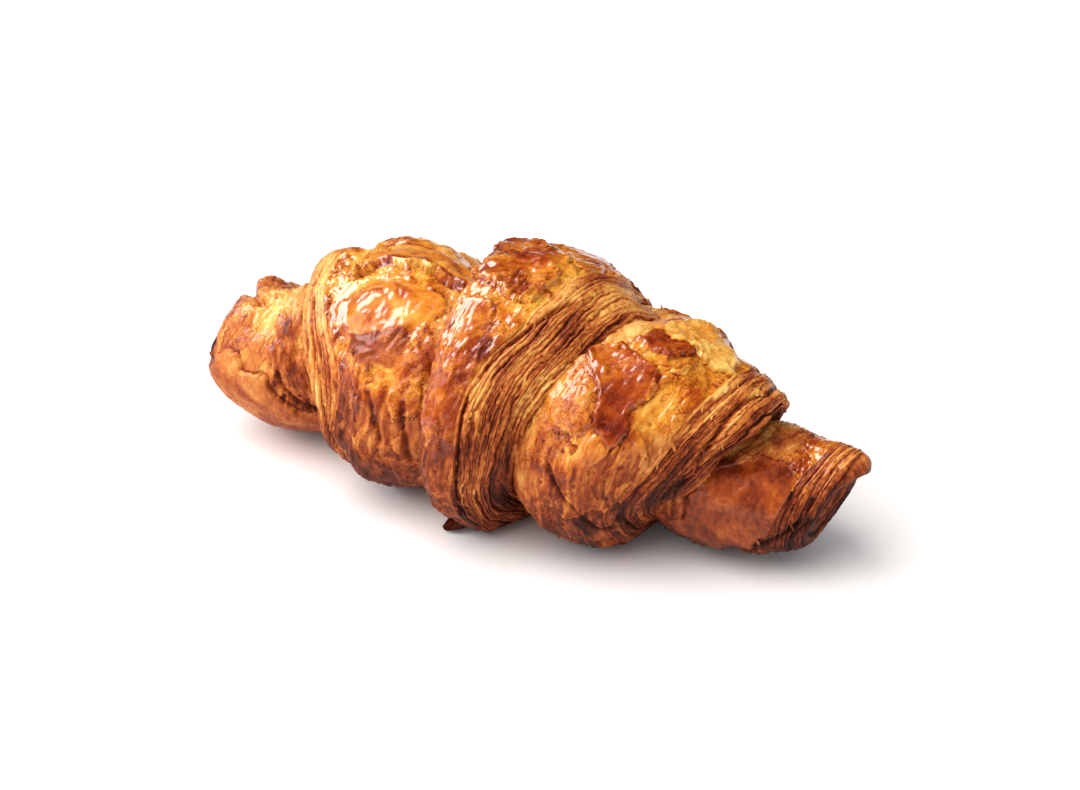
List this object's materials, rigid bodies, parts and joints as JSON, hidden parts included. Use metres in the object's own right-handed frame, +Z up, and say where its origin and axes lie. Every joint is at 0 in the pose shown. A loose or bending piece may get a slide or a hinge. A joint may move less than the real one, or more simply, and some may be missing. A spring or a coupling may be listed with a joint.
{
  "type": "croissant",
  "caption": "Baked croissant: a rolled, fused piece of laminated dough that tapers to both ends and lies on its flat underside.",
  "frame": {"origin": "on the surface that the croissant rests on, under the middle of its box", "axes": "+X along the roll, towards the end that is nearer in the front view; +Y across it, to the back; +Z up"},
  "size_m": [0.16, 0.073, 0.0585],
  "materials": {
    "crust": "baked, egg-washed crust: glossy on the crowns, satin on the flanks"
  },
  "bodies": {
    "root": {"croissant": "crust"}
  },
  "joints": []
}
